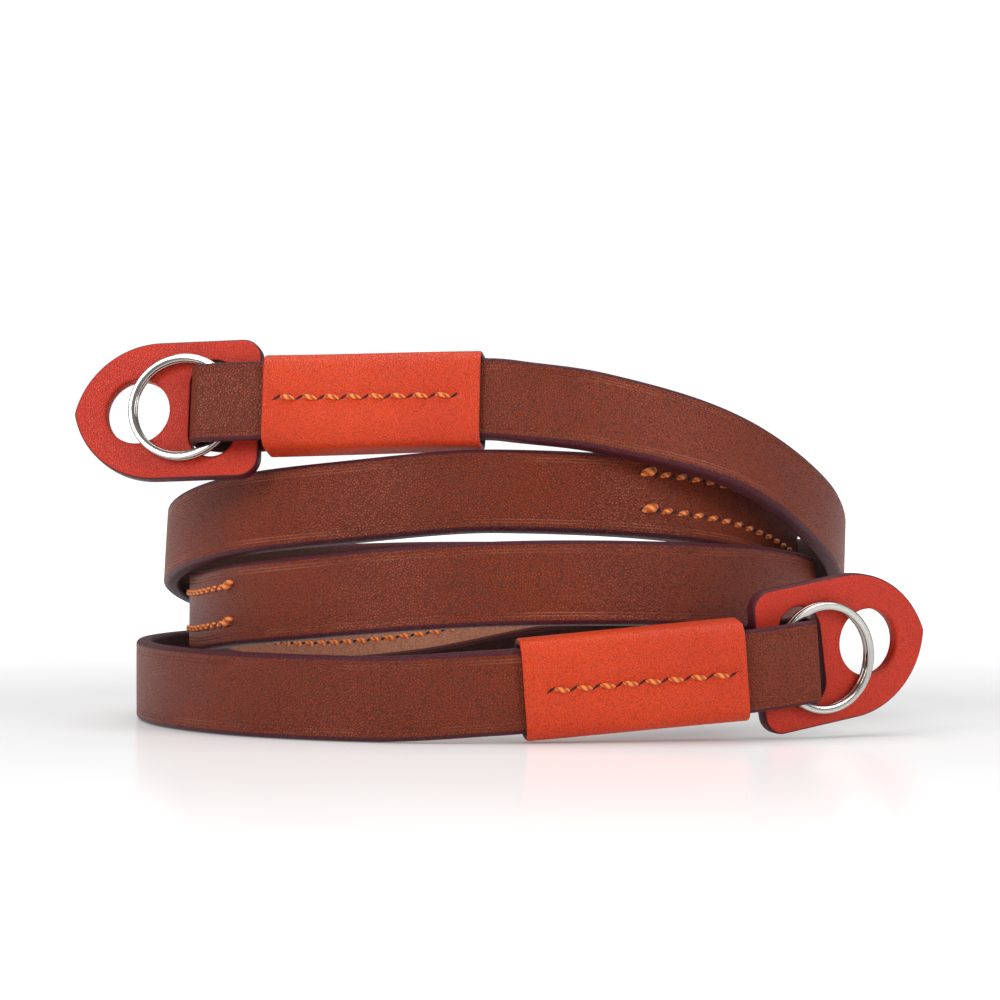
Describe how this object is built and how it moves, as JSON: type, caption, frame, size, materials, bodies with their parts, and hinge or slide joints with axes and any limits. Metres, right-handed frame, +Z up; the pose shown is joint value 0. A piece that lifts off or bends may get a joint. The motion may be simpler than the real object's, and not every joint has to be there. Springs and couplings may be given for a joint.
{
  "type": "coiled camera strap",
  "caption": "Narrow leather camera strap coiled on its edge, with stitched end sleeves, split rings, lug guards and a sewn shoulder pad.",
  "frame": {"origin": "middle of the part's box, on the surface that the lowest turn stands on", "axes": "+Z up through the coil, +X to the right as seen from the front, where the sleeves are, +Y to the back"},
  "size_m": [0.1236, 0.1098, 0.0571],
  "materials": {
    "strap_leather": "satin brown, dark painted edges",
    "pad_leather": "matt tan suede lining",
    "sleeve_leather": "satin orange",
    "guard_leather": "satin red-orange, dark painted edges",
    "ring_steel": "bright nickel plate"
  },
  "bodies": {
    "root": {"strap": "strap_leather", "shoulder_pad": "pad_leather", "sleeve_upper": "sleeve_leather", "sleeve_lower": "sleeve_leather", "lug_guard_upper": "guard_leather", "lug_guard_lower": "guard_leather", "ring_upper": "ring_steel", "ring_lower": "ring_steel"}
  },
  "joints": []
}
